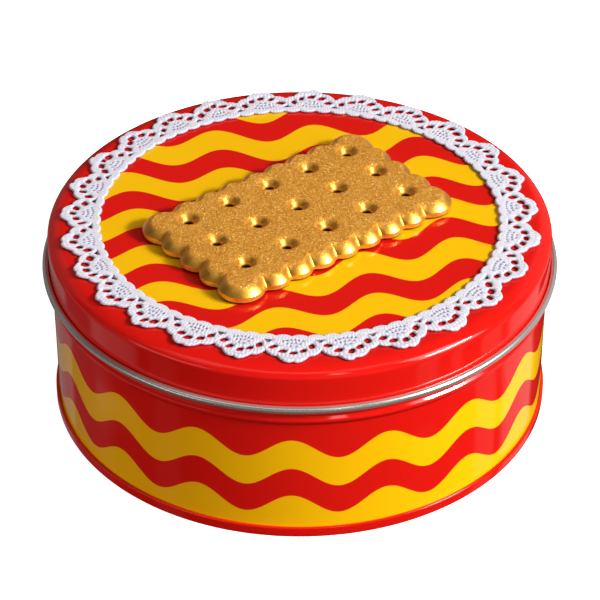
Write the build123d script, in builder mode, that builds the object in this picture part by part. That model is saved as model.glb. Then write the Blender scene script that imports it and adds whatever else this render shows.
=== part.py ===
from build123d import *

import os
from math import cos, radians

# Round slip-lid cookie tin with a glued-on lace edging and a moulded biscuit ornament.
#
# Millimetres, +Z up.  The origin is the centre of the tin on the surface it stands on.
# Three pressed tinplate pieces make the tin: a drawn lid, a rolled body wall and a base
# plate that is double-seamed to the wall.  A lace ring is held on the lid by a thin ring
# of glue, and the biscuit is stuck on with a foam pad.

# --- driving dimensions -------------------------------------------------------------
SHEET = 0.28                 # tinplate thickness
TIN_HEIGHT = 77.5            # floor to the flat top of the closed lid

WALL_R = 96.5                # outside of the body wall
STOP_BEAD_R = 98.0           # tip of the ridge under the lid, before it is rounded
STOP_BEAD_Z = 54.5           # middle of that ridge
STOP_BEAD_HALF = 2.0         # half its height
STOP_BEAD_BEND = 1.0         # bend radius of its foot, tip and head
NECK_R = 96.9                # outside of the wall where the lid slides over it
BODY_TOP_Z = 75.3            # top of the inward safety curl
BODY_CURL_R = 1.3            # outside radius of that curl's section
BODY_CURL_SWEEP = 285        # degrees that the curl is rolled

LID_R = 97.4                 # outside of the lid's skirt
LID_SHOULDER = 4.0           # rounding between the skirt and the flat top
LID_CURL_Z = 60.9            # middle of the outward curl on the lid's edge
LID_CURL_R = 1.16            # inside radius of that curl's section
LID_CURL_SWEEP = 310         # degrees that the curl is rolled

SEAM_HEIGHT = 4.4            # height of the double seam at the floor
SEAM_GAP = 0.15              # space left between the five layers of the seam
SEAM_BEND = 0.45             # bend radius at the seam's corners, middle of the sheet
BASE_PANEL_Z = 4.2           # underside of the countersunk base panel
BASE_RING_RISE = 1.0         # height of the stiffening ring pressed into the panel
BASE_RING_R = (78.0, 87.5)   # where that ring starts and ends
RING_BEND = 1.0              # bend radius of the ring's four corners

LACE_SCALLOPS = 27
LACE_INNER_R = 77.3
LACE_BAND_R = 86.3           # the band that carries the scallops
LACE_PEAK_R = 93.5           # tip of a scallop
LACE_SCALLOP_R = 10.74       # radius of a scallop's rounding
LACE_FIRST_DEG = 358.5       # first scallop, counted from the front towards +X
LACE_STRETCH_DEG = 2.9       # how far the lace was pulled unevenly as it was laid
LACE_STRETCH_AT = 195.0      # where the lace lies furthest round
LACE_THICK = 1.7
GLUE_R = (78.2, 80.2)        # ring of glue under the lace's dense edge
GLUE_THICK = 0.2

BISCUIT_HALF = (54.3, 32.9)  # centre to the tips of the lobes, long and short axis
BISCUIT_CENTRE = (-0.6, -1.9)
BISCUIT_TURN = 38.06         # long axis, degrees from +X
BISCUIT_TOP_Z = 84.0
BISCUIT_GAP = 0.2            # clearance between its rim and the lid
LOBE_R = 7.0
LOBE_PITCH = (10.93, 12.1)   # along the long sides, along the short sides
LOBE_COUNT = (7, 3)          # between the corners, on the long sides and the short sides
CORNER_LOBE_R = 9.0
GROOVE_ROUND = 0.8           # rounding at the bottom of the grooves between lobes
RIM_ROUND = 1.6              # rounding of the upper rim
DIMPLE_GRID = (19.6, 18.2)   # pitch of the dimples, long and short axis
DIMPLE_COUNT = (5, 3)
DIMPLE_SHIFT = (1.2, 1.7)       # middle of the dimples from the middle of the biscuit
DIMPLE_R = 4.0
DIMPLE_DEPTH = 2.8
DIMPLE_FLOOR_R = 0.7
PAD_SIZE = (76.0, 34.0)      # double-sided foam pad
PAD_THICK = 1.0
POCKET_SIZE = (78.0, 36.0)   # recess for the pad in the biscuit's underside


def scallop_angles():
    """Angles from +X of the lace's scallops, a little uneven all the way round."""
    pitch = 360 / LACE_SCALLOPS
    for count in range(LACE_SCALLOPS):
        even = LACE_FIRST_DEG + count * pitch
        pulled = even + LACE_STRETCH_DEG * (1 + cos(radians(even - LACE_STRETCH_AT)))
        yield pulled - 90


def finish(piece, name):
    """Label a finished piece and write its STEP file."""
    piece.part.label = name
    export_step(piece.part, f"parts/{name}.step")


os.makedirs("parts", exist_ok=True)

# --- lid: one drawn sheet, laid out along the middle of its thickness -----------------
MID = SHEET / 2
LID_MID_R = LID_R - MID
LID_CURL_MID = LID_CURL_R + MID
SHOULDER_CENTRE = (LID_R - LID_SHOULDER, TIN_HEIGHT - LID_SHOULDER)

with BuildPart() as lid_shell:
    with BuildSketch(Plane.XZ):
        with BuildLine():
            Line((0, TIN_HEIGHT - MID), (SHOULDER_CENTRE[0], TIN_HEIGHT - MID))
            CenterArc(SHOULDER_CENTRE, LID_SHOULDER - MID, 90, -90)
            Line((LID_MID_R, SHOULDER_CENTRE[1]), (LID_MID_R, LID_CURL_Z))
            CenterArc((LID_MID_R + LID_CURL_MID, LID_CURL_Z), LID_CURL_MID, 180, LID_CURL_SWEEP)
        trace(line_width=SHEET)
    revolve(axis=Axis.Z)
finish(lid_shell, "lid_shell")

# --- double seam: middles of its five layers of sheet ---------------------------------
LAYER = SHEET + SEAM_GAP
WALL_MID_R = WALL_R - MID
CHUCK_WALL_R = WALL_MID_R - LAYER               # the base plate's upright inside the wall
COVER_HOOK_R = WALL_MID_R + LAYER               # the base plate's hook
BODY_HOOK_R = COVER_HOOK_R + LAYER              # the wall's hook
SEAM_WALL_R = BODY_HOOK_R + LAYER               # the base plate's outer wall
BODY_FOLD_R = (BODY_HOOK_R - WALL_MID_R) / 2
BODY_FOLD_Z = MID + LAYER + BODY_FOLD_R
COVER_FOLD_R = (SEAM_WALL_R - COVER_HOOK_R) / 2
COVER_FOLD_Z = SEAM_HEIGHT - MID - COVER_FOLD_R

# --- body wall: hook, wall, stop bead, neck and safety curl ---------------------------
NECK_MID_R = NECK_R - MID
BODY_CURL_MID = BODY_CURL_R - MID
BODY_CURL_Z = BODY_TOP_Z - BODY_CURL_R

with BuildPart() as body_wall:
    with BuildSketch(Plane.XZ):
        with BuildLine():
            Line((BODY_HOOK_R, COVER_FOLD_Z), (BODY_HOOK_R, BODY_FOLD_Z))
            CenterArc((WALL_MID_R + BODY_FOLD_R, BODY_FOLD_Z), BODY_FOLD_R, 0, -180)
            FilletPolyline(
                (WALL_MID_R, BODY_FOLD_Z),
                (WALL_MID_R, STOP_BEAD_Z - STOP_BEAD_HALF),
                (STOP_BEAD_R, STOP_BEAD_Z),
                (NECK_MID_R, STOP_BEAD_Z + STOP_BEAD_HALF),
                (NECK_MID_R, BODY_CURL_Z),
                radius=STOP_BEAD_BEND,
            )
            CenterArc((NECK_MID_R - BODY_CURL_MID, BODY_CURL_Z), BODY_CURL_MID, 0, BODY_CURL_SWEEP)
        trace(line_width=SHEET)
    revolve(axis=Axis.Z)
finish(body_wall, "body_wall")

# --- base plate: countersunk panel with one stiffening ring, hooked round the wall ----
PANEL_MID_Z = BASE_PANEL_Z + MID
RING_START_R, RING_END_R = BASE_RING_R

with BuildPart() as base_plate:
    with BuildSketch(Plane.XZ):
        with BuildLine():
            FilletPolyline(
                (0, PANEL_MID_Z),
                (RING_START_R, PANEL_MID_Z),
                (RING_START_R + BASE_RING_RISE, PANEL_MID_Z + BASE_RING_RISE),
                (RING_END_R - BASE_RING_RISE, PANEL_MID_Z + BASE_RING_RISE),
                (RING_END_R, PANEL_MID_Z),
                (CHUCK_WALL_R, PANEL_MID_Z),
                (CHUCK_WALL_R, MID),
                (SEAM_WALL_R, MID),
                (SEAM_WALL_R, COVER_FOLD_Z),
                radius=[RING_BEND] * 4 + [SEAM_BEND] * 3,
            )
            CenterArc((SEAM_WALL_R - COVER_FOLD_R, COVER_FOLD_Z), COVER_FOLD_R, 0, 180)
            Line((COVER_HOOK_R, COVER_FOLD_Z), (COVER_HOOK_R, BODY_FOLD_Z))
        trace(line_width=SHEET)
    revolve(axis=Axis.Z)
finish(base_plate, "base_plate")

# --- lace ring: a closed scalloped solid of the real lace's outline -------------------
LACE_Z = TIN_HEIGHT + GLUE_THICK
SCALLOP_CENTRE_R = LACE_PEAK_R - LACE_SCALLOP_R

with BuildPart() as lace_ring:
    with BuildSketch(Plane.XY.offset(LACE_Z)):
        Circle(LACE_BAND_R)
        for angle in scallop_angles():
            with PolarLocations(SCALLOP_CENTRE_R, 1, start_angle=angle):
                Circle(LACE_SCALLOP_R)
        Circle(LACE_INNER_R, mode=Mode.SUBTRACT)
    extrude(amount=LACE_THICK)
finish(lace_ring, "lace_ring")

# --- glue under the lace's dense inner edge --------------------------------------------
with BuildPart() as lace_glue:
    with BuildSketch(Plane.XY.offset(TIN_HEIGHT)):
        Circle(GLUE_R[1])
        Circle(GLUE_R[0], mode=Mode.SUBTRACT)
    extrude(amount=GLUE_THICK)
finish(lace_glue, "lace_glue")

# --- biscuit ornament: moulded block with lobed sides, dimples and a pad recess -------
BISCUIT_Z = TIN_HEIGHT + BISCUIT_GAP
HALF_L, HALF_W = BISCUIT_HALF
CORE = (2 * (HALF_L - LOBE_R / 2), 2 * (HALF_W - LOBE_R / 2))
biscuit_plane = Plane((*BISCUIT_CENTRE, BISCUIT_Z), x_dir=Vector(1, 0, 0).rotate(Axis.Z, BISCUIT_TURN))
top_plane = biscuit_plane.offset(BISCUIT_TOP_Z - BISCUIT_Z)

with BuildPart() as biscuit_ornament:
    with BuildSketch(biscuit_plane) as outline:
        Rectangle(*CORE)
        with GridLocations(LOBE_PITCH[0], 2 * (HALF_W - LOBE_R), LOBE_COUNT[0], 2):
            Circle(LOBE_R)
        with GridLocations(2 * (HALF_L - LOBE_R), LOBE_PITCH[1], 2, LOBE_COUNT[1]):
            Circle(LOBE_R)
        with GridLocations(2 * (HALF_L - CORNER_LOBE_R), 2 * (HALF_W - CORNER_LOBE_R), 2, 2):
            Circle(CORNER_LOBE_R)
        fillet(outline.vertices(), GROOVE_ROUND)
    extrude(amount=BISCUIT_TOP_Z - BISCUIT_Z)
    fillet(biscuit_ornament.faces().sort_by(Axis.Z)[-1].edges(), RIM_ROUND)
    with Locations(top_plane), Locations(DIMPLE_SHIFT):
        with GridLocations(*DIMPLE_GRID, *DIMPLE_COUNT):
            Cone(
                DIMPLE_FLOOR_R,
                DIMPLE_R,
                DIMPLE_DEPTH,
                align=(Align.CENTER, Align.CENTER, Align.MAX),
                mode=Mode.SUBTRACT,
            )
    with BuildSketch(biscuit_plane):
        Rectangle(*POCKET_SIZE)
    extrude(amount=PAD_THICK - BISCUIT_GAP, mode=Mode.SUBTRACT)
finish(biscuit_ornament, "biscuit_ornament")

# --- foam pad between the lid and the biscuit's recess ---------------------------------
with BuildPart() as biscuit_pad:
    with BuildSketch(biscuit_plane.offset(-BISCUIT_GAP)):
        Rectangle(*PAD_SIZE)
    extrude(amount=PAD_THICK)
finish(biscuit_pad, "biscuit_pad")
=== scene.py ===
import math

import bpy
import numpy as np
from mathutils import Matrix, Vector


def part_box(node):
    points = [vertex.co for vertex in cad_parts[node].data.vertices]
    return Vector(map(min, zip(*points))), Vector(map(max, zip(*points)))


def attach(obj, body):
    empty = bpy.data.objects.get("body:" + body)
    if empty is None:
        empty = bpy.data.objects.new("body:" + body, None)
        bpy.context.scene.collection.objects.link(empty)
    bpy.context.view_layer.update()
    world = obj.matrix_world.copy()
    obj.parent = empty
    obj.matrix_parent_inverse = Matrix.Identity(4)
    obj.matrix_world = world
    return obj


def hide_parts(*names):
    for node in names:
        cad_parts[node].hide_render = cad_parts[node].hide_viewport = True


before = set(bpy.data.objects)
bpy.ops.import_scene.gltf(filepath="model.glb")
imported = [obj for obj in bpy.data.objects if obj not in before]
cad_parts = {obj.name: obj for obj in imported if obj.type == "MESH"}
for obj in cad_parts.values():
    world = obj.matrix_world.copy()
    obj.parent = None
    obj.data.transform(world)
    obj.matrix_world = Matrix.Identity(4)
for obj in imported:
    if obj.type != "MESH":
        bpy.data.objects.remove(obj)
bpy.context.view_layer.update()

# Cookie tin: tinplate lid and body with a wavy print, crocheted lace ring, gold biscuit.
# Metres, +Z up, the front of the tin faces -Y.

MM = 0.001
TAU = 2 * math.pi
SEED = 27

# --- places read from the frame -------------------------------------------------------
LID_LOW, LID_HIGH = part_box("lid_shell")
BODY_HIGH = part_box("body_wall")[1]
LACE_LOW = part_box("lace_ring")[0]
BISCUIT_LOW, BISCUIT_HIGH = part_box("biscuit_ornament")
TIN_TOP = LID_HIGH[2]                     # flat top of the lid
RIM_R = LID_HIGH[0]                       # outside of the lid's rolled edge
SHEET = 0.28 * MM                         # tinplate

# --- sizes of the pressed sheet --------------------------------------------------------
MID = SHEET / 2
LAYER = SHEET + 0.15 * MM                 # one layer of the double seam and its gap
ROLL_R = 1.30 * MM                        # lid's rolled edge, middle of the sheet
ROLL_Z = LID_LOW[2] + ROLL_R + MID
SKIRT_R = RIM_R - MID - 2 * ROLL_R
SHOULDER_WIDE = 7.0 * MM - MID            # the lid's shoulder is a quarter of an ellipse
SHOULDER_TALL = 4.2 * MM - MID
WALL_R = 96.5 * MM - MID
WALL_TOP = 40 * MM                        # end of the plain wall, below the stop bead
STOP_Z = 54.7 * MM                        # stop bead, a ridge below the lid's edge
STOP_R = BODY_HIGH[0] - MID
NECK_R = 96.9 * MM - MID                  # body inside the lid
BODY_CURL_R = 1.3 * MM - MID
BODY_CURL_Z = BODY_HIGH[2] - 1.3 * MM
SEAM_TOP = 4.4 * MM - MID
SEAM_BEND = 0.45 * MM
PANEL_Z = 4.2 * MM + MID                  # base panel and the step pressed in it
PANEL_RING = (78.0 * MM, 87.5 * MM)
AROUND = 384                              # facets round the tin


# --- meshes -----------------------------------------------------------------------------
def mesh_object(name, points, faces, materials, face_material=None, smooth=True):
    """A mesh piece from points in metres."""
    mesh = bpy.data.meshes.new(name)
    mesh.from_pydata([tuple(p) for p in points], [], faces)
    for material in materials:
        mesh.materials.append(material)
    if face_material is not None:
        mesh.polygons.foreach_set("material_index", np.asarray(face_material, dtype=np.int32))
    mesh.polygons.foreach_set("use_smooth", [smooth] * len(mesh.polygons))
    mesh.validate()
    mesh.update()
    piece = bpy.data.objects.new(name, mesh)
    bpy.context.scene.collection.objects.link(piece)
    return piece


def arc(centre, radius, start, sweep, steps):
    """Points on an arc in the section plane, angles in degrees."""
    angles = np.radians(start + sweep * np.linspace(0, 1, steps + 1))
    return [(centre[0] + radius * math.cos(a), centre[1] + radius * math.sin(a)) for a in angles]


def rounded(points, radius, steps=6):
    """A polyline in the section plane with its corners rounded."""
    line = [points[0]]
    for before, corner, after in zip(points, points[1:], points[2:]):
        corner = np.array(corner)
        to_before = np.array(before) - corner
        to_after = np.array(after) - corner
        to_before /= np.linalg.norm(to_before)
        to_after /= np.linalg.norm(to_after)
        half = math.acos(np.clip(to_before @ to_after, -1, 1)) / 2
        reach = radius / math.tan(half)
        bisector = (to_before + to_after) / np.linalg.norm(to_before + to_after)
        centre = corner + bisector * radius / math.sin(half)
        first = corner + to_before * reach - centre
        last = corner + to_after * reach - centre
        turn = math.atan2(first[0] * last[1] - first[1] * last[0], first @ last)
        start = math.degrees(math.atan2(first[1], first[0]))
        line += arc(centre, radius, start, math.degrees(turn), steps)
    line.append(points[-1])
    return line


def subdivided(start, end, steps):
    """Points along a straight run, without its last one."""
    start, end = np.array(start), np.array(end)
    return [tuple(start + (end - start) * i / steps) for i in range(steps)]


def sheet_faces(line):
    """Both faces of a sheet whose middle follows a line: on its left, and on its right."""
    line = np.array(line)
    keep = np.r_[True, np.linalg.norm(np.diff(line, axis=0), axis=1) > 1e-7]
    line = line[keep]
    along = np.gradient(line, axis=0)
    along /= np.linalg.norm(along, axis=1)[:, None]
    across = np.c_[-along[:, 1], along[:, 0]] * MID
    left, right = line + across, line - across
    for side in (left, right):
        side[np.abs(line[:, 0]) < 1e-9, 0] = 0
    return left, right


def lathe(name, outer, inner, materials):
    """A closed shell turned about Z. outer gets the first material, inner the second."""
    section = np.r_[outer, inner[::-1]]
    closing = [] if section[0][0] == 0 else [1]
    kinds = [0] * (len(outer) - 1) + [1] * len(inner) + closing
    turns = np.arange(AROUND) * TAU / AROUND
    points, rows = [], []
    for radius, height in section:
        if radius == 0:
            rows.append([len(points)] * AROUND)
            points.append((0, 0, height))
            continue
        rows.append(list(range(len(points), len(points) + AROUND)))
        points += list(zip(radius * np.sin(turns), -radius * np.cos(turns), 0 * turns + height))
    faces, face_kinds = [], []
    for low, high, kind in zip(rows, rows[1:] + rows[:1], kinds):
        if low[0] == low[1] and high[0] == high[1]:
            continue
        for i in range(AROUND):
            j = (i + 1) % AROUND
            corners = [low[i], high[i], high[j], low[j]]
            faces.append(list(dict.fromkeys(corners)))
            face_kinds.append(kind)
    return mesh_object(name, points, faces, materials, face_kinds)


# --- shader nodes -----------------------------------------------------------------------
class Number:
    """A value inside a material, so that a formula reads as one."""

    def __init__(self, shader, socket):
        self.shader = shader
        self.socket = socket

    def __add__(self, other):
        return self.shader.math("ADD", self, other)

    def __sub__(self, other):
        return self.shader.math("SUBTRACT", self, other)

    def __rsub__(self, other):
        return self.shader.math("SUBTRACT", other, self)

    def __mul__(self, other):
        return self.shader.math("MULTIPLY", self, other)

    def __truediv__(self, other):
        return self.shader.math("DIVIDE", self, other)

    __radd__ = __add__
    __rmul__ = __mul__


class Nodes:
    """Short calls for the nodes of one material or world."""

    def __init__(self, owner):
        owner.use_nodes = True
        self.tree = owner.node_tree

    def node(self, kind, settings=None, **inputs):
        node = self.tree.nodes.new(kind)
        for key, value in (settings or {}).items():
            setattr(node, key, value)
        for key, value in inputs.items():
            self.put(node.inputs[key.replace("_", " ")], value)
        return node

    def put(self, socket, value):
        if isinstance(value, Number):
            value = value.socket
        if isinstance(value, bpy.types.NodeSocket):
            self.tree.links.new(value, socket)
        else:
            socket.default_value = value

    def math(self, operation, *values):
        node = self.node("ShaderNodeMath", {"operation": operation})
        for socket, value in zip(node.inputs, values):
            self.put(socket, value)
        return Number(self, node.outputs[0])

    def vector(self, operation, *values, **inputs):
        node = self.node("ShaderNodeVectorMath", {"operation": operation}, **inputs)
        for socket, value in zip(node.inputs, values):
            self.put(socket, value)
        return node.outputs[0]

    def split(self, vector):
        node = self.node("ShaderNodeSeparateXYZ", Vector=vector)
        return [Number(self, socket) for socket in node.outputs]

    def noise(self, scale, detail=3.0, stretch=(1, 1, 1), roughness=0.5):
        place = self.node("ShaderNodeMapping", Vector=self.place, Scale=stretch).outputs[0]
        inputs = dict(Vector=place, Scale=scale, Detail=detail, Roughness=roughness)
        node = self.node("ShaderNodeTexNoise", **inputs)
        return Number(self, node.outputs["Fac"])

    def ramp(self, value, low, high, to_low=0.0, to_high=1.0):
        """A smooth step from to_low at low to to_high at high."""
        node = self.node("ShaderNodeMapRange", {"interpolation_type": "SMOOTHSTEP"})
        for key, number in zip(("Value", "From Min", "From Max", "To Min", "To Max"),
                               (value, low, high, to_low, to_high)):
            self.put(node.inputs[key], number)
        return Number(self, node.outputs["Result"])

    def mix(self, factor, first, second):
        node = self.node("ShaderNodeMix", {"data_type": "RGBA"})
        self.put(node.inputs["Factor"], factor)
        colours = [s for s in node.inputs if s.type == "RGBA"]
        for socket, value in zip(colours, (first, second)):
            self.put(socket, value)
        return [s for s in node.outputs if s.type == "RGBA"][0]

    def bump(self, height, strength, distance, before=None):
        node = self.node("ShaderNodeBump", Height=height, Strength=strength, Distance=distance)
        if before is not None:
            self.put(node.inputs["Normal"], before)
        return node.outputs[0]


class Shader(Nodes):
    """A material, with its place on the object at hand."""

    def __init__(self, name):
        self.material = bpy.data.materials.new(name)
        super().__init__(self.material)
        self.surface = self.tree.nodes["Principled BSDF"]
        self.place = self.node("ShaderNodeTexCoord").outputs["Object"]

    def attribute(self, name):
        return Number(self, self.node("ShaderNodeAttribute", {"attribute_name": name}).outputs["Fac"])

    def finish(self, **inputs):
        for key, value in inputs.items():
            self.put(self.surface.inputs[key.replace("_", " ")], value)
        return self.material


RED = (0.73, 0.008, 0.005, 1)
YELLOW = (0.97, 0.56, 0.002, 1)
STEEL = (0.82, 0.80, 0.76, 1)
STEEL_METAL = 0.82


def tinplate():
    """Bare rolled steel with faint drawn lines and blotches."""
    s = Shader("bare_tinplate")
    lines = s.noise(700, 2, (0.02, 0.02, 1))
    blotch = s.noise(40, 2)
    tint = s.mix(blotch, STEEL, (0.76, 0.74, 0.71, 1))
    roughness = s.ramp(lines + blotch, 0.7, 1.3, 0.20, 0.27)
    return s.finish(Base_Color=tint, Metallic=STEEL_METAL, Roughness=roughness)


def enamel(name, yellow_mask, bare_mask=None):
    """Glossy printed enamel. The masks say where the yellow ink is, and where there is none."""
    s = Shader(name)
    cloud = s.noise(25, 2)
    red = s.mix(s.ramp(cloud, 0.3, 0.7), RED, (0.70, 0.009, 0.005, 1))
    yellow = s.mix(s.ramp(cloud, 0.3, 0.7), YELLOW, (0.96, 0.54, 0.002, 1))
    colour = s.mix(yellow_mask(s), red, yellow)
    roughness = s.ramp(s.noise(40, 4), 0.35, 0.75, 0.055, 0.11)
    normal = s.bump(s.noise(350, 2), 0.04, 0.0002)
    if bare_mask:
        bare, weld = bare_mask(s)
        colour = s.mix(bare, colour, s.mix(weld, STEEL, (0.30, 0.27, 0.24, 1)))
        roughness = roughness + bare * 0.15 + weld * 0.2
        normal = s.bump(bare - weld, 0.5, -0.0001, normal)
        s.finish(Metallic=bare * STEEL_METAL)
    return s.finish(Base_Color=colour, Roughness=roughness, Specular_IOR_Level=0.5, Normal=normal)


# --- print --------------------------------------------------------------------------------
INK_EDGE = 0.12 * MM                    # softness of an ink edge
PRINT_R = 79 * MM                       # the striped disc ends under the lace
LID_WAVE = 0.181                        # height of a wave, in stripe pairs
LID_YELLOW = 0.516                      # yellow share of a stripe pair
LID_PAIRS = 3.7                         # stripe pairs in 100 mm


def lid_print(s):
    """Wavy stripes that bend across the lid. Two of them meet under the biscuit."""
    x, y, _ = s.split(s.place)
    x, y = x * 10, y * 10               # a lid is 2 of these units across
    radius = s.math("SQRT", x * x + y * y)
    # stripe counts stripe pairs from back to front, along counts waves from left to right
    merge = s.math("ARCTAN2", y + 0.03, x) / TAU
    stripe = 0.919 + 0.647 * x - 3.664 * y + 0.163 * x * x + 0.227 * y * y + merge
    along = 0.284 + 2.548 * x + 0.502 * y + 0.115 * x * x - 0.064 * x * y + 0.002 * y * y
    wave = stripe - LID_WAVE * s.math("SINE", along * TAU)
    share = s.math("FRACT", wave + 8)
    soft = INK_EDGE * 10 * LID_PAIRS
    start = s.ramp(share, 0.0, soft)
    stop = s.ramp(share, LID_YELLOW - soft, LID_YELLOW, 1.0, 0.0)
    inside = s.ramp(radius, PRINT_R * 10 - 0.002, PRINT_R * 10, 1.0, 0.0)
    return start * stop * inside


WAVES_ROUND = 17
WAVE_HEIGHT = 4.3 * MM
WAVE_CREST = math.radians(-1.7)         # turn of the first crest from the front
BAND_EDGES = (40.9 * MM, 27.6 * MM, 14.8 * MM)
SEAM_BARE = 2.2 * MM                    # half the unprinted strip along the side seam
WELD_HALF = (0.2 * MM, 0.45 * MM)       # half the weld line, at its core and its edge


def body_print(s):
    """Two wavy bands; the lower one runs down to the seam."""
    x, y, z = s.split(s.place)
    turn = s.math("ARCTAN2", x, y * -1.0)
    wave = s.math("COSINE", (turn - WAVE_CREST) * WAVES_ROUND) * WAVE_HEIGHT
    level = z - wave
    top, bottom, second = [
        s.ramp(level, edge - INK_EDGE, edge + INK_EDGE) for edge in BAND_EDGES
    ]
    return (bottom - top) + (1 - second)


def side_seam(s):
    """The bare strip at the back where the sheet is welded, and the weld line in it."""
    x, y, _ = s.split(s.place)
    behind = s.math("GREATER_THAN", y, 0.0)
    off = s.math("ABSOLUTE", x + s.noise(120, 2) * 0.0002)
    bare = behind * s.ramp(off, SEAM_BARE, SEAM_BARE + INK_EDGE, 1.0, 0.0)
    weld = behind * s.ramp(off, *WELD_HALF, 1.0, 0.0)
    return bare, weld


def plain_print(s):
    """No yellow anywhere."""
    x, _, _ = s.split(s.place)
    return x * 0.0


# --- lid, body and base --------------------------------------------------------------------
def make_lid(steel):
    """Flat top, rounded shoulder, skirt and outward rolled edge."""
    line = [(0, TIN_TOP - MID)] + [(r * MM, TIN_TOP - MID) for r in (10, 30, 50, 70, 80, 86)]
    shoulder = arc((0, 0), 1, 90, -90, 20)
    low = TIN_TOP - MID - SHOULDER_TALL
    line += [(SKIRT_R - SHOULDER_WIDE * (1 - x), low + SHOULDER_TALL * y) for x, y in shoulder]
    line += subdivided((SKIRT_R, low - MM), (SKIRT_R, ROLL_Z), 6)
    line += arc((SKIRT_R + ROLL_R, ROLL_Z), ROLL_R, 180, 310, 36)
    outer, inner = sheet_faces(line)
    lid = lathe("printed_lid", outer, inner, [enamel("lid_enamel", lid_print), steel])
    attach(lid, "lid")
    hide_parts("lid_shell")


def make_body(steel):
    """Seam hook, wall, stop bead, neck and inward curl."""
    hook_r = WALL_R + 2 * LAYER
    fold_r = (hook_r - WALL_R) / 2
    fold_z = MID + LAYER + fold_r
    bead = rounded(
        [
            (WALL_R, WALL_TOP),
            (WALL_R, STOP_Z - 2.2 * MM),
            (STOP_R, STOP_Z - 0.1 * MM),
            (STOP_R, STOP_Z + 0.8 * MM),
            (NECK_R, STOP_Z + 1.9 * MM),
            (NECK_R, BODY_CURL_Z - 8 * MM),
        ],
        0.7 * MM,
    )
    line = [(hook_r, SEAM_TOP - 0.5 * MM)] + arc((WALL_R + fold_r, fold_z), fold_r, 0, -180, 12)
    line += subdivided((WALL_R, fold_z + MM), (WALL_R, WALL_TOP), 8) + bead
    line += arc((NECK_R - BODY_CURL_R, BODY_CURL_Z), BODY_CURL_R, 0, 285, 30)
    inner, outer = sheet_faces(line)
    body = lathe("printed_body", outer, inner, [enamel("body_enamel", body_print, side_seam), steel])
    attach(body, "tin")
    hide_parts("body_wall")


def make_base(steel):
    """Panel with a raised ring, and the double seam that holds the body's hook."""
    chuck_r = WALL_R - LAYER
    seam_r = WALL_R + 3 * LAYER
    fold_r = LAYER
    fold_z = SEAM_TOP - fold_r
    body_fold_z = MID + 2 * LAYER
    panel = rounded(
        [
            (60 * MM, PANEL_Z),
            (PANEL_RING[0], PANEL_Z),
            (PANEL_RING[0] + MM, PANEL_Z + MM),
            (PANEL_RING[1] - MM, PANEL_Z + MM),
            (PANEL_RING[1], PANEL_Z),
            (91 * MM, PANEL_Z),
        ],
        1.0 * MM,
    )
    seam = rounded(
        [
            (92 * MM, PANEL_Z),
            (chuck_r, PANEL_Z),
            (chuck_r, MID),
            (seam_r, MID),
            (seam_r, fold_z - 0.2 * MM),
        ],
        SEAM_BEND,
    )
    line = [(0, PANEL_Z), (20 * MM, PANEL_Z), (40 * MM, PANEL_Z)] + panel + seam
    line += arc((seam_r - fold_r, fold_z), fold_r, 0, 180, 14)
    line += [(seam_r - 2 * fold_r, body_fold_z)]
    inner, outer = sheet_faces(line)
    base = lathe("seamed_base", outer, inner, [enamel("base_enamel", plain_print), steel])
    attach(base, "tin")
    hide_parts("base_plate")


# --- lace ------------------------------------------------------------------------------------
# Lengths from here to make_lace are in millimetres, except LACE_Z.
SCALLOPS = 27
PITCH = TAU / SCALLOPS
LACE_Z = LACE_LOW[2] + 0.03 * MM
LACE_MID_R = 85.0
LACE_PEAK = 93.4                         # outer edge at a scallop's tip and between two scallops
LACE_VALLEY = 86.9
LACE_INNER = 77.7
LACE_REACH = (76.1, 94.6)                # radii that the grid covers
LACE_THICK = 0.95
LACE_GRID = (2160, 62)
SHOULDER_START = (SKIRT_R - SHOULDER_WIDE) / MM
# openings in an arch over each scallop: place along it as a share of the pitch, and radius
ARCH_HOLES = ((-0.365, 83.8), (-0.19, 86.7), (0.0, 87.9), (0.18, 86.5), (0.35, 83.6))
HOLE_HALF = (1.34, 1.32)
HOLE_SQUARE = 2.8                        # power of the rounded square of an opening
GAP_R = 80.2                             # the opening between two fans ends here
FAN_R = 74.5                             # each fan's rows of stitches are circles about this radius
ROW = 3.05
ROW_START = 4.2
STITCH = 1.416
BAND_R = 79.4                            # the plain inner band ends here
# pits between the stitches: distance along the scallop from its middle, and radius
PITS = (
    (-4.1, 80.9), (-2.6, 80.4), (-1.1, 80.1), (0.4, 80.1), (1.9, 80.3), (3.5, 80.8),
    (-2.3, 82.4), (-0.8, 82.1), (0.8, 82.0), (2.4, 82.5), (-0.9, 83.8), (0.9, 83.9),
)
PIT_DEEP = 0.85
PIT_R = 0.34


def scallop_centres(rng):
    """Angles of the scallops from the front, uneven as they were laid."""
    even = math.radians(358.5) + np.arange(SCALLOPS) * PITCH
    pulled = even + math.radians(2.9) * (1 + np.cos(even - math.radians(195)))
    return np.sort(pulled % TAU) + rng.normal(0, 0.006, SCALLOPS)


def place_in_scallop(theta, centres, wobble):
    """Place in the nearest scallop, as a share of its width and in millimetres, and its wobble."""
    wrapped = np.r_[centres[-1] - TAU, centres, centres[0] + TAU]
    middles = (wrapped[1:] + wrapped[:-1]) / 2
    turn = (theta - middles[0]) % TAU + middles[0]
    index = np.clip(np.searchsorted(middles, turn) - 1, 0, SCALLOPS - 1)
    width = (middles[1:] - middles[:-1])[index]
    phase = (turn - (middles[:-1] + middles[1:])[index] / 2) / width
    return phase, phase * PITCH * LACE_MID_R, wobble[index]


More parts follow.
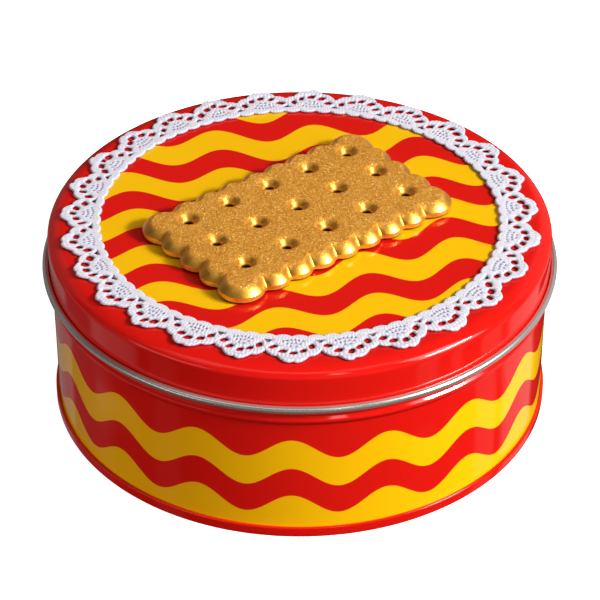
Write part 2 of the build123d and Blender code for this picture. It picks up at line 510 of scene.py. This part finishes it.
def lace_outline(theta, radius, phase, jitter):
    """Signed depth between the scalloped outer edge with its picots and the looped inner edge."""
    peak = LACE_PEAK + 0.3 * jitter[..., 0]
    rise = 1 - np.abs(2 * phase) ** 1.35
    picot = np.abs(np.cos(math.pi * (3.5 * phase + 0.5 + 0.12 * jitter[..., 1])))
    outer = LACE_VALLEY - 1.1 + (peak - 0.1 - LACE_VALLEY) * rise + 1.3 * picot**0.9
    loops = np.abs(np.cos(theta * SCALLOPS * 3 / 2 + 0.4 * np.sin(5 * theta)))
    inner = LACE_INNER - 1.15 * loops**0.7
    return np.minimum((outer - radius) * 0.86, radius - inner)


def lace_openings(depth, radius, across, jitter):
    """The depth with the arch of openings cut out, and the opening between two fans."""
    for number, (place, middle) in enumerate(ARCH_HOLES):
        dx = across - (place * PITCH * LACE_MID_R + 0.25 * jitter[..., 2 + number])
        dy = radius - (middle + 0.22 * jitter[..., 7 + number])
        lean = place * 1.6
        side = dx * math.cos(lean) - dy * math.sin(lean)
        up = dx * math.sin(lean) + dy * math.cos(lean)
        half_x = HOLE_HALF[0] + 0.18 * jitter[..., 12 + number]
        half_y = HOLE_HALF[1] + 0.15 * jitter[..., 7 + number]
        skew = side + 0.25 * up
        size = np.abs(skew / half_x) ** HOLE_SQUARE + np.abs(up / half_y) ** HOLE_SQUARE
        depth = np.minimum(depth, (size ** (1 / HOLE_SQUARE) - 1) * 1.1)
    to_edge = PITCH * LACE_MID_R / 2 - np.abs(across)
    slant = 0.62 * (to_edge - 1.85) + 0.78 * (radius - GAP_R) * 0.9
    return np.minimum(depth, np.maximum(GAP_R - radius, slant))


def lace_stitches(theta, radius, across, jitter):
    """Relief of the stitches: rows round each fan, a plain inner band, and the pits."""
    fan_up = radius - FAN_R
    fan_r = np.hypot(across, fan_up)
    fan_turn = np.arctan2(across, fan_up)
    rows = (fan_r - ROW_START) / ROW
    shift = np.where(np.floor(rows) % 2 == 0, 0.0, 0.5)
    stitch = STITCH / np.maximum(fan_r, 5.0)
    strand = np.cos(TAU * (fan_turn / stitch + shift))
    relief = 0.07 * strand - 0.06 * np.maximum(np.cos(TAU * rows), 0) ** 3
    band = 0.06 * np.cos(theta * SCALLOPS * 16 + 2 * np.sin(radius * 2.0))
    relief = np.where(radius < BAND_R, band, relief)
    for px, pr in PITS:
        near = np.hypot(across - px - 0.25 * jitter[..., 3], radius - pr - 0.2 * jitter[..., 4])
        relief = relief - PIT_DEEP * np.exp(-((near / PIT_R) ** 2))
    return relief


def lace_shape(theta, radius, centres, wobble):
    """Signed depth inside the lace, the relief of its stitches, and its lift off the lid's top."""
    phase, across, jitter = place_in_scallop(theta, centres, wobble)
    depth = lace_outline(theta, radius, phase, jitter)
    depth = lace_openings(depth, radius, across, jitter)
    relief = lace_stitches(theta, radius, across, jitter)
    over = np.clip((radius - SHOULDER_START) * MM / SHOULDER_WIDE, 0, 0.7)
    droop = SHOULDER_TALL / MM * (1 - np.sqrt(1 - over**2))
    curl = np.clip((radius - 86) / 7, 0, 1) ** 2 * (0.30 + 0.22 * jitter[..., 5])
    return depth, relief, curl - 0.75 * droop


def lace_grid(centres, wobble):
    """Angles and radii over the ring. Points near an edge of the lace are moved on to it."""
    around, deep = LACE_GRID
    turns = np.arange(around) * TAU / around
    theta, radius = np.meshgrid(turns, np.linspace(*LACE_REACH, deep), indexing="ij")
    step = 0.02
    for _ in range(2):
        depth = lace_shape(theta, radius, centres, wobble)[0]
        slope_r = (lace_shape(theta, radius + step, centres, wobble)[0] - depth) / step
        slope_t = (lace_shape(theta + step / radius, radius, centres, wobble)[0] - depth) / step
        size = np.maximum(slope_r**2 + slope_t**2, 0.09)
        near = np.abs(depth) < 0.17 * np.sqrt(size)
        radius = np.where(near, radius - depth * slope_r / size, radius)
        theta = np.where(near, theta - depth * slope_t / size / radius, theta)
    return theta, radius


def lace_faces(inside):
    """Upper faces where the grid is inside the lace, lower ones under them, and the edge walls."""
    around, deep = inside.shape
    number = np.arange(around * deep).reshape(around, deep)
    ring = np.roll(number, -1, 0)
    cells = np.stack([number[:, :-1], ring[:, :-1], ring[:, 1:], number[:, 1:]], -1).reshape(-1, 4)
    good = inside.reshape(-1)[cells]
    full = cells[good.all(1)]
    three = good.sum(1) == 3
    upper = full.tolist() + cells[three][good[three]].reshape(-1, 3).tolist()
    under = around * deep
    lower = [[corner + under for corner in reversed(face)] for face in upper]
    edges = {(a, b) for face in upper for a, b in zip(face, face[1:] + face[:1])}
    walls = [[b, a, a + under, b + under] for a, b in sorted(edges) if (b, a) not in edges]
    return upper + lower + walls


def make_lace():
    """The lace ring as one closed mesh. The relief sets the thread's painted shade: dark in the pits,
    between the stitches, towards the edges and underneath.
    """
    rng = np.random.default_rng(SEED)
    centres = scallop_centres(rng)
    wobble = np.clip(rng.normal(0, 1, (SCALLOPS, 17)), -1.8, 1.8)
    theta, radius = lace_grid(centres, wobble)
    depth, relief, lift = lace_shape(theta, radius, centres, wobble)
    puff = np.sqrt(1 - (1 - np.clip(depth / 0.8, 0, 1)) ** 2)
    fade = np.clip(depth / 0.5, 0, 1)
    top = 0.42 + (LACE_THICK - 0.42) * puff + relief * fade
    bottom = 0.22 * (1 - np.clip(depth / 0.7, 0, 1)) ** 2
    x, y = radius * np.sin(theta) * MM, -radius * np.cos(theta) * MM
    heights = (np.maximum(top, bottom + 0.18) + lift, bottom + lift)
    layers = [np.stack([x, y, LACE_Z + z * MM], -1).reshape(-1, 3) for z in heights]
    faces = lace_faces(depth > -0.03)
    used = np.zeros(2 * depth.size, dtype=bool)
    used[[corner for face in faces for corner in face]] = True
    renumber = np.cumsum(used) - 1
    faces = [[int(renumber[corner]) for corner in face] for face in faces]
    lace = mesh_object("crochet_lace", np.concatenate(layers)[used], faces, [cotton()])
    shade = lace.data.attributes.new("relief", "FLOAT", "POINT")
    # painted shade: less white where the relief dips, in the pits and towards the puffed edges; the
    # underside is all painted shade
    painted_light_share = np.clip(0.62 + relief / 0.5 + 0.35 * (puff - 1), 0, 1).reshape(-1)
    shade.data.foreach_set("value", np.r_[painted_light_share, painted_light_share * 0][used].astype(np.float32))
    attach(lace, "lid")
    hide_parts("lace_ring")


# dark lavender painted shade for the crevices, the pits and the underside
COTTON_PAINTED_SHADE = (0.27, 0.25, 0.39, 1)
COTTON_WHITE = (0.80, 0.82, 0.93, 1)
COTTON_FIBRE = (0.60, 0.62, 0.75, 1)


def cotton():
    """Mercerised cotton thread: white on the stitches, with a lavender grey painted shade between them,
    in the pits and on the underside.
    """
    s = Shader("crochet_cotton")
    relief = s.attribute("relief")
    fibre = s.noise(2600, 3)
    twist = s.noise(1500, 2, (1, 1, 0.3))
    # painted shade from the relief attribute: lavender grey in the crevices, white on the stitches
    colour = s.mix(s.ramp(relief, 0.0, 0.75), COTTON_PAINTED_SHADE, COTTON_WHITE)
    return s.finish(
        Base_Color=s.mix(s.ramp(fibre, 0.35, 0.65) * 0.3, colour, COTTON_FIBRE),
        Roughness=0.75, Specular_IOR_Level=0.3, Sheen_Weight=0.25, Sheen_Roughness=0.5,
        Normal=s.bump(fibre, 0.5, 0.0002, s.bump(twist, 0.5, 0.0003)),
    )


# --- biscuit -----------------------------------------------------------------------------------
# Lengths from here to make_biscuit are in millimetres, on the biscuit's own axes, X along it.
BISCUIT_HALF = (54.3, 32.9)
BISCUIT_CENTRE = (-0.6, -1.9)            # on the lid
BISCUIT_TURN = math.radians(38.06)
BISCUIT_TALL = (BISCUIT_HIGH[2] - BISCUIT_LOW[2]) / MM
BISCUIT_GRID = (461, 291)
LOBE_R = 7.0
LOBE_PITCH = (10.93, 12.1)
LOBE_COUNT = (7, 3)                      # lobes of a long and a short side, between the corners
CORNER_R = 9.0
NOTCH_SOFT = 0.35                        # rounding of the notch between two lobes
RIM_WIDE = 4.0                           # the rim falls by RIM_DROP over this width
RIM_DROP = 3.3
RIM_POWER = 1.6
TUCK = 1.1                               # the side draws in by this at its foot
SIDE_SHARES = (0.04, 0.2, 0.4, 0.6, 0.75, 0.87, 0.95, 1.0)
DIMPLE_PITCH = (19.4, 18.1)
DIMPLE_SHIFT = (1.2, 1.7)
DIMPLE_R = 4.1
DIMPLE_SLOPE = 1.02
DIMPLE_LIP = 0.4                         # rounding of a dimple's edge
HOLE_R = 1.7                             # pricked hole in the middle of a dimple
HOLE_DEEP = 1.4
CREASE_DEEP = 0.7                        # fold in line with each notch
POCKET_HALF = (39.0, 18.0)               # recess for the pad
POCKET_DEEP = 0.85


def lobe_circles():
    """Centres and radii of the lobes round the biscuit's edge."""
    half_l, half_w = BISCUIT_HALF
    circles = []
    for i in range(LOBE_COUNT[0]):
        x = (i - (LOBE_COUNT[0] - 1) / 2) * LOBE_PITCH[0]
        circles += [(x, half_w - LOBE_R, LOBE_R), (x, LOBE_R - half_w, LOBE_R)]
    for i in range(LOBE_COUNT[1]):
        y = (i - (LOBE_COUNT[1] - 1) / 2) * LOBE_PITCH[1]
        circles += [(half_l - LOBE_R, y, LOBE_R), (LOBE_R - half_l, y, LOBE_R)]
    for sx in (-1, 1):
        for sy in (-1, 1):
            circles.append((sx * (half_l - CORNER_R), sy * (half_w - CORNER_R), CORNER_R))
    return circles


def lobed(x, y):
    """Positive inside the lobed outline, zero on it."""
    core_x, core_y = BISCUIT_HALF[0] - LOBE_R, BISCUIT_HALF[1] - LOBE_R
    core = np.minimum(core_x - np.abs(x), core_y - np.abs(y))
    total = np.exp(np.clip(core, -20, 20) / NOTCH_SOFT)
    for cx, cy, radius in lobe_circles():
        total = total + np.exp(np.clip(radius - np.hypot(x - cx, y - cy), -20, 20) / NOTCH_SOFT)
    return NOTCH_SOFT * np.log(total)


def on_outline(x, y, push_x, push_y):
    """Slides points along a direction on to the outline."""
    for _ in range(16):
        gap = lobed(x, y)
        x, y = x + gap * push_x, y + gap * push_y
    return x, y


def crowded(count, power):
    """Steps from -1 to 1, closer together near the ends."""
    even = np.linspace(-1, 1, count)
    return np.sign(even) * (1 - (1 - np.abs(even)) ** power)


def biscuit_grid():
    """A grid of points that fills the lobed outline."""
    wide, deep = BISCUIT_GRID
    u, v = crowded(wide, 1.18), crowded(deep, 1.22)
    half_l, half_w = BISCUIT_HALF
    side_u, side_v = u * (half_l - CORNER_R * 0.293), v * (half_w - CORNER_R * 0.293)
    lean_u, lean_v = np.abs(u) ** 6, np.abs(v) ** 6
    edge_y, edge_x = np.full(wide, side_v[-1]), np.full(deep, side_u[-1])
    front = on_outline(side_u, -edge_y, 0.707 * u * lean_u, -1 + 0.293 * lean_u)
    back = on_outline(side_u, edge_y, 0.707 * u * lean_u, 1 - 0.293 * lean_u)
    left = on_outline(-edge_x, side_v, -1 + 0.293 * lean_v, 0.707 * v * lean_v)
    right = on_outline(edge_x, side_v, 1 - 0.293 * lean_v, 0.707 * v * lean_v)
    s, t = (u[:, None] + 1) / 2, (v[None, :] + 1) / 2
    coords = []
    for f, b, l, r in zip(front, back, left, right):
        l[0], l[-1], r[0], r[-1] = f[0], b[0], f[-1], b[-1]
        blend = (1 - t) * f[:, None] + t * b[:, None] + (1 - s) * l[None, :] + s * r[None, :]
        corners = (1 - s) * (1 - t) * f[0] + s * (1 - t) * f[-1] + (1 - s) * t * b[0] + s * t * b[-1]
        coords.append(blend - corners)
    return coords


def distance_to_loop(x, y, loop_x, loop_y, reach=9.0):
    """Distance from each point to the nearest point of a closed loop, where it is under reach."""
    fine = np.linspace(0, len(loop_x), 4 * len(loop_x), endpoint=False)
    ticks = np.arange(len(loop_x) + 1)
    loop_x = np.interp(fine, ticks, np.r_[loop_x, loop_x[0]])
    loop_y = np.interp(fine, ticks, np.r_[loop_y, loop_y[0]])
    flat_x, flat_y = x.reshape(-1), y.reshape(-1)
    out = np.full(flat_x.shape, reach)
    near = np.flatnonzero(lobed(flat_x, flat_y) < reach)
    for part in np.array_split(near, max(1, len(near) // 2000)):
        gap = (flat_x[part, None] - loop_x) ** 2 + (flat_y[part, None] - loop_y) ** 2
        out[part] = np.minimum(reach, np.sqrt(gap.min(1)))
    return out.reshape(x.shape)


def dimple_distance(x, y):
    """Distance to the nearest dimple's centre."""
    x, y = x - DIMPLE_SHIFT[0], y - DIMPLE_SHIFT[1]
    i = np.clip(np.round(x / DIMPLE_PITCH[0]), -2, 2)
    j = np.clip(np.round(y / DIMPLE_PITCH[1]), -1, 1)
    return np.hypot(x - i * DIMPLE_PITCH[0], y - j * DIMPLE_PITCH[1])


def lumps(x, y, rng, count=60, size=8.0, tall=0.05):
    """Low, wide unevenness of a baked surface."""
    out = np.zeros_like(x)
    for _ in range(count):
        cx, cy, wide = rng.uniform(-52, 52), rng.uniform(-31, 31), size * rng.uniform(0.3, 1)
        out += rng.normal(0, tall) * np.exp(-((x - cx) ** 2 + (y - cy) ** 2) / (2 * wide**2))
    return out


def crease(x, y):
    """1 in line with a notch between two lobes, falling to 0 beside it."""
    on_long = np.abs(np.abs(x) / LOBE_PITCH[0] % 1 - 0.5) * LOBE_PITCH[0]
    on_short = np.abs(np.abs(y) / LOBE_PITCH[1] % 1 - 0.5) * LOBE_PITCH[1]
    long_side = (np.abs(y) > BISCUIT_HALF[1] - LOBE_R) & (np.abs(x) < BISCUIT_HALF[0] - 1.4 * CORNER_R)
    short_side = (np.abs(x) > BISCUIT_HALF[0] - LOBE_R) & (np.abs(y) < BISCUIT_HALF[1] - 1.4 * CORNER_R)
    on_long = np.where(long_side, on_long, 9)
    on_short = np.where(short_side, on_short, 9)
    return np.exp(-((np.minimum(on_long, on_short) / 0.55) ** 2))


def biscuit_top(x, y, edge, rng):
    """Height of the top above the underside: crowned, rounded rim, docked dimples."""
    slope = np.clip(1 - edge / RIM_WIDE, 0, 1)
    height = BISCUIT_TALL - 0.12 - RIM_DROP * slope**RIM_POWER
    away = dimple_distance(x, y)
    height = height - DIMPLE_SLOPE * DIMPLE_LIP * np.log1p(np.exp((DIMPLE_R - away) / DIMPLE_LIP))
    height = height - HOLE_DEEP / (1 + np.exp((away - HOLE_R) / 0.14))
    height = height - CREASE_DEEP * crease(x, y) * np.clip(1 - edge / 4.5, 0, 1)
    return height + lumps(x, y, rng) * np.clip(edge / 4, 0, 1)


def side_rings(x, y, rim):
    """Rings of points down the side, across the underside and into the pad's recess."""
    away_x, away_y = np.roll(y, -1) - np.roll(y, 1), np.roll(x, 1) - np.roll(x, -1)
    size = np.hypot(away_x, away_y)
    away_x, away_y = away_x / size, away_y / size
    rings = []
    for share in SIDE_SHARES:
        inset = TUCK * (1 - math.sqrt(1 - share**4))
        rings.append(np.stack([x - away_x * inset, y - away_y * inset, rim * (1 - share)], -1))
    foot_x, foot_y = rings[-1][:, 0], rings[-1][:, 1]
    to_x = np.clip(foot_x, -POCKET_HALF[0], POCKET_HALF[0]) * 0.999
    to_y = np.clip(foot_y, -POCKET_HALF[1], POCKET_HALF[1]) * 0.999
    for share in (0.5, 1.0):
        under_x, under_y = foot_x + (to_x - foot_x) * share, foot_y + (to_y - foot_y) * share
        rings.append(np.stack([under_x, under_y, 0 * to_x], -1))
    rings.append(np.stack([to_x * 0.998, to_y * 0.998, 0 * to_x + POCKET_DEEP], -1))
    return rings


def biscuit_faces(number, border, ring_count):
    """The grid's faces, those between its border and the rings below, and the recess's fan."""
    cells = [number[:-1, :-1], number[1:, :-1], number[1:, 1:], number[:-1, 1:]]
    faces = np.stack(cells, -1).reshape(-1, 4).tolist()
    above = border
    for k in range(ring_count):
        below = number.size + k * len(border) + np.arange(len(border))
        faces += np.stack([np.roll(above, -1), above, below, np.roll(below, -1)], -1).tolist()
        above = below
    centre = number.size + ring_count * len(border)
    return faces + [[int(b), int(a), centre] for a, b in zip(above, np.roll(above, -1))]


def biscuit_mesh():
    """Points, faces, and for each point how polished it is and how much painted shade it gets: in the
    holes, down the foot and underneath.
    """
    rng = np.random.default_rng(SEED + 1)
    x, y = biscuit_grid()
    number = np.arange(x.size).reshape(BISCUIT_GRID)
    border = np.r_[number[:-1, 0], number[-1, :-1], number[:0:-1, -1], number[0, :0:-1]]
    border_x, border_y = x.reshape(-1)[border], y.reshape(-1)[border]
    edge = distance_to_loop(x, y, border_x, border_y)
    edge.reshape(-1)[border] = 0
    top = biscuit_top(x, y, edge, rng)
    rings = side_rings(border_x, border_y, top.reshape(-1)[border])
    faces = biscuit_faces(number, border, len(rings))
    points = np.concatenate([np.stack([x, y, top], -1).reshape(-1, 3)] + rings + [[(0, 0, POCKET_DEEP)]])
    polish, painted_shade = np.full(len(points), 0.6), np.ones(len(points))
    away = dimple_distance(x, y).reshape(-1)
    near_edge = np.clip(1.25 - edge.reshape(-1) / 4.0, 0, 1)
    polish[:x.size] = np.maximum(near_edge, 0.9 * np.clip(2.1 - away / 2.5, 0, 1))
    # painted shade: dark in the pricked holes, growing down the lower side rings to the foot, and full
    # on the underside and in the recess
    painted_shade[:x.size] = 1 / (1 + np.exp((away - HOLE_R - 0.15) / 0.12))
    shade = np.repeat(np.clip(np.array(SIDE_SHARES) * 3.2 - 1.6, 0, 1), len(border))
    painted_shade[x.size:x.size + len(shade)] = shade
    return points, faces, polish, painted_shade


def make_biscuit():
    """The biscuit turned on the lid, with its polish and painted shade for the paint."""
    points, faces, polish, painted_shade = biscuit_mesh()
    ca, sa = math.cos(BISCUIT_TURN), math.sin(BISCUIT_TURN)
    placed = np.c_[
        (points[:, 0] * ca - points[:, 1] * sa + BISCUIT_CENTRE[0]) * MM,
        (points[:, 0] * sa + points[:, 1] * ca + BISCUIT_CENTRE[1]) * MM,
        points[:, 2] * MM + BISCUIT_LOW[2],
    ]
    biscuit = mesh_object("gold_biscuit", placed, faces, [gold()])
    for name, values in (("polish", polish), ("painted_shade", painted_shade)):
        shade = biscuit.data.attributes.new(name, "FLOAT", "POINT")
        shade.data.foreach_set("value", values.astype(np.float32))
    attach(biscuit, "lid")
    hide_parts("biscuit_ornament")


GOLD_DEEP = (0.76, 0.29, 0.022, 1)
GOLD_LIGHT = (1.0, 0.49, 0.065, 1)
GOLD_CLOUD = (0.78, 0.29, 0.022, 1)
GOLD_POLISHED = (0.95, 0.46, 0.03, 1)
# light specks painted as glints on the matt top
GOLD_PAINTED_GLINT = (1.0, 0.76, 0.26, 1)
# dark brown painted shade for the holes, the foot and the underside
GOLD_PAINTED_SHADE = (0.045, 0.012, 0.002, 1)


def gold():
    """Gold paint: grains that sparkle on the top, with lighter specks painted as glints, polished round
    the rim, and painted shade in the holes, at the foot and underneath.
    """
    s = Shader("gold_paint")
    polish, painted_shade = s.attribute("polish"), s.attribute("painted_shade")
    matt = 1 - s.ramp(polish, 0.1, 1.0)
    flakes = s.node("ShaderNodeTexVoronoi", Vector=s.place, Scale=3300.0).outputs["Color"]
    chance = s.split(flakes)[0]
    grain = s.noise(1400, 5, roughness=0.7)
    cloud = s.noise(90, 3)
    colour = s.mix(s.ramp(grain, 0.3, 0.7), GOLD_DEEP, GOLD_LIGHT)
    colour = s.mix(s.ramp(cloud, 0.4, 0.7) * 0.3, colour, GOLD_CLOUD)
    colour = s.mix(s.ramp(polish, 0.3, 1.0), colour, GOLD_POLISHED)
    # painted glints: a few random flake cells on the matt top are made lighter
    colour = s.mix(s.ramp(chance, 0.90, 0.96) * matt * 0.85, colour, GOLD_PAINTED_GLINT)
    # painted shade: the holes, the foot and the underside turn dark brown
    colour = s.mix(s.ramp(painted_shade, 0.3, 0.8), colour, GOLD_PAINTED_SHADE)
    spread = s.vector("SUBTRACT", flakes, (0.5, 0.5, 0.5))
    spread = s.vector("SCALE", spread, Scale=matt * 0.72 + 0.08)
    normal = s.vector("ADD", s.node("ShaderNodeNewGeometry").outputs["Normal"], spread)
    normal = s.vector("NORMALIZE", normal)
    return s.finish(
        Base_Color=colour,
        # the painted shade also takes away the metal, the gloss and the coat there
        Metallic=s.ramp(matt, 0.0, 1.0, 0.92, 0.30) * (1 - painted_shade),
        Roughness=s.ramp(matt, 0.0, 1.0, 0.37, 0.43) + painted_shade * 0.4,
        Specular_IOR_Level=0.5 - painted_shade * 0.5,
        Coat_Weight=(1 - matt) * (1 - painted_shade), Coat_Roughness=0.3, Coat_IOR=1.6,
        Normal=s.bump(grain, matt * 0.12 + 0.04, 0.0004, normal),
    )


# --- pieces that keep their CAD shape --------------------------------------------------------
def dress(node, material):
    """Gives a CAD node its finished material."""
    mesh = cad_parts[node].data
    mesh.materials.clear()
    mesh.materials.append(material)


def clear_glue():
    """Dried glue, half clear and half cloudy."""
    s = Shader("clear_glue")
    cloud = s.noise(300, 3)
    return s.finish(
        Base_Color=s.mix(cloud, (0.86, 0.84, 0.78, 1), (0.72, 0.70, 0.66, 1)),
        Roughness=s.ramp(cloud, 0.3, 0.7, 0.25, 0.5), Normal=s.bump(cloud, 0.4, 0.0003),
    )


def white_foam():
    """Foam with open cells."""
    s = Shader("pad_foam")
    cells = s.node("ShaderNodeTexVoronoi", Vector=s.place, Scale=1800.0).outputs["Distance"]
    return s.finish(
        Base_Color=s.mix(cells, (0.90, 0.90, 0.88, 1), (0.70, 0.70, 0.68, 1)),
        Roughness=0.9, Normal=s.bump(cells, 0.6, 0.0003),
    )


# --- studio ------------------------------------------------------------------------------------
CAMERA_AT = (0.0001, -0.8144, 0.5674 + ROLL_Z)
CAMERA_TILT = math.radians(90 - 35.92)
CAMERA_LENS = 152.8
LAMP_AWAY = 1.6
TIN_MIDDLE = np.array((0, 0, 0.06))     # what the lamps point at
WARM = (1.0, 0.66, 0.56)
# what the gloss reflects: azimuth from the front, elevation, width and height in degrees, brightness
PANELS = (
    (68, 33, 32, 36, 5.1),
    (18, 40, 7, 14, 3.4),
    (-10, 63, 150, 14, 0.7),
    (-55, 8, 34, 11, 1.5),
    (-92, -14, 50, 9, 0.35),
    (-120, -36, 40, 30, 0.05),
    (-62, 52, 40, 16, 0.3),
    (-135, 15, 50, 50, 0.12),
    (135, 15, 50, 50, 0.20),
    (0, 4, 190, 26, 0.10),
    (-95, -33, 30, 10, 0.26),
    (-65, -40, 14, 20, 0.05),
    (60, -33.4, 11, 10, 0.22),
    (76, -32, 6, 13, 0.20),
    (98, -30, 14, 40, 0.22),
    (126, -36, 30, 50, 0.40),
    (-150, -36, 30, 50, 0.20),
)
FLOOR_HALF = 6.0


def make_camera():
    """Looks down on the tin from the front."""
    data = bpy.data.cameras.new("camera")
    data.lens = CAMERA_LENS
    data.sensor_width = 36
    data.clip_start, data.clip_end = 0.01, 50
    camera = bpy.data.objects.new("camera", data)
    camera.location = CAMERA_AT
    camera.rotation_euler = (CAMERA_TILT, 0, 0)
    bpy.context.scene.collection.objects.link(camera)
    bpy.context.scene.camera = camera


def lamp(name, azimuth, elevation, size, level, colour=(1, 1, 1), reflected=True):
    """A lamp, size wide and high. level is what a white surface facing it would show."""
    data = bpy.data.lights.new(name, "AREA")
    data.shape = "RECTANGLE"
    data.size, data.size_y = size
    data.energy = level * (math.pi * LAMP_AWAY) ** 2
    data.color = colour
    holder = bpy.data.objects.new(name, data)
    turn, rise = math.radians(azimuth), math.radians(elevation)
    flat = math.cos(rise)
    direction = np.array((math.sin(turn) * flat, -math.cos(turn) * flat, math.sin(rise)))
    holder.location = direction * LAMP_AWAY + TIN_MIDDLE
    holder.rotation_euler = (math.pi / 2 - rise, 0, turn)
    holder.visible_glossy = reflected
    bpy.context.scene.collection.objects.link(holder)


def make_world():
    """A dark studio with bright panels in it, seen only in reflections and as soft fill."""
    world = bpy.data.worlds.new("studio")
    bpy.context.scene.world = world
    s = Nodes(world)
    x, y, z = s.split(s.node("ShaderNodeTexCoord").outputs["Generated"])
    elevation = s.math("ARCSINE", z) * (180 / math.pi)
    light = s.ramp(z, -0.5, 0.9, 0.02, 0.05)
    for azimuth, height, wide, tall, brightness in PANELS:
        turn = math.radians(azimuth)
        ahead = x * math.sin(turn) - y * math.cos(turn)
        beside = x * math.cos(turn) + y * math.sin(turn)
        off = s.math("ABSOLUTE", s.math("ARCTAN2", beside, ahead)) * (180 / math.pi)
        above = s.math("ABSOLUTE", elevation - height)
        across = s.ramp(off, wide * 0.40, wide * 0.60, 1.0, 0.0)
        up = s.ramp(above, tall * 0.42, tall * 0.58, 1.0, 0.0)
        light = light + across * up * brightness
    background = world.node_tree.nodes["Background"]
    background.inputs["Color"].default_value = (1.0, 0.97, 0.93, 1)
    s.put(background.inputs["Strength"], light)


def make_studio():
    """A key lamp on the right, low warm fills, and the world."""
    scene = bpy.context.scene
    scene.view_settings.view_transform = "Standard"
    lamp("key", 67, 31, (0.55, 0.13), 1.10, (1.0, 0.98, 0.95))
    lamp("fill_left", -55, 6, (0.9, 0.4), 0.26, WARM, reflected=False)
    lamp("fill_front", 20, 5, (0.9, 0.9), 0.15, (1.0, 0.85, 0.80), reflected=False)
    lamp("fill_back", 180, 25, (0.9, 0.9), 0.13, WARM, reflected=False)
    lamp("fill_top", -30, 80, (0.9, 0.9), 0.03, WARM, reflected=False)
    make_world()


def make_floor():
    """White paper with a glow of its own. It is not mirrored in the tin and doesn't light it."""
    s = Shader("floor_paper")
    cloud = s.noise(3, 2)
    tone = s.mix(cloud, (0.93, 0.93, 0.93, 1), (0.90, 0.90, 0.90, 1))
    paper = s.finish(Base_Color=tone, Roughness=0.9, Emission_Color=(1, 1, 1, 1), Emission_Strength=0.97)
    signs = ((-1, -1), (1, -1), (1, 1), (-1, 1))
    corners = [(x * FLOOR_HALF, y * FLOOR_HALF, 0) for x, y in signs]
    floor = mesh_object("floor", corners, [(0, 1, 2, 3)], [paper], smooth=False)
    floor.visible_glossy = False
    floor.visible_diffuse = False


make_camera()
make_studio()
make_floor()
steel = tinplate()
make_lid(steel)
make_body(steel)
make_base(steel)
make_lace()
make_biscuit()
dress("lace_glue", clear_glue())
dress("biscuit_pad", white_foam())
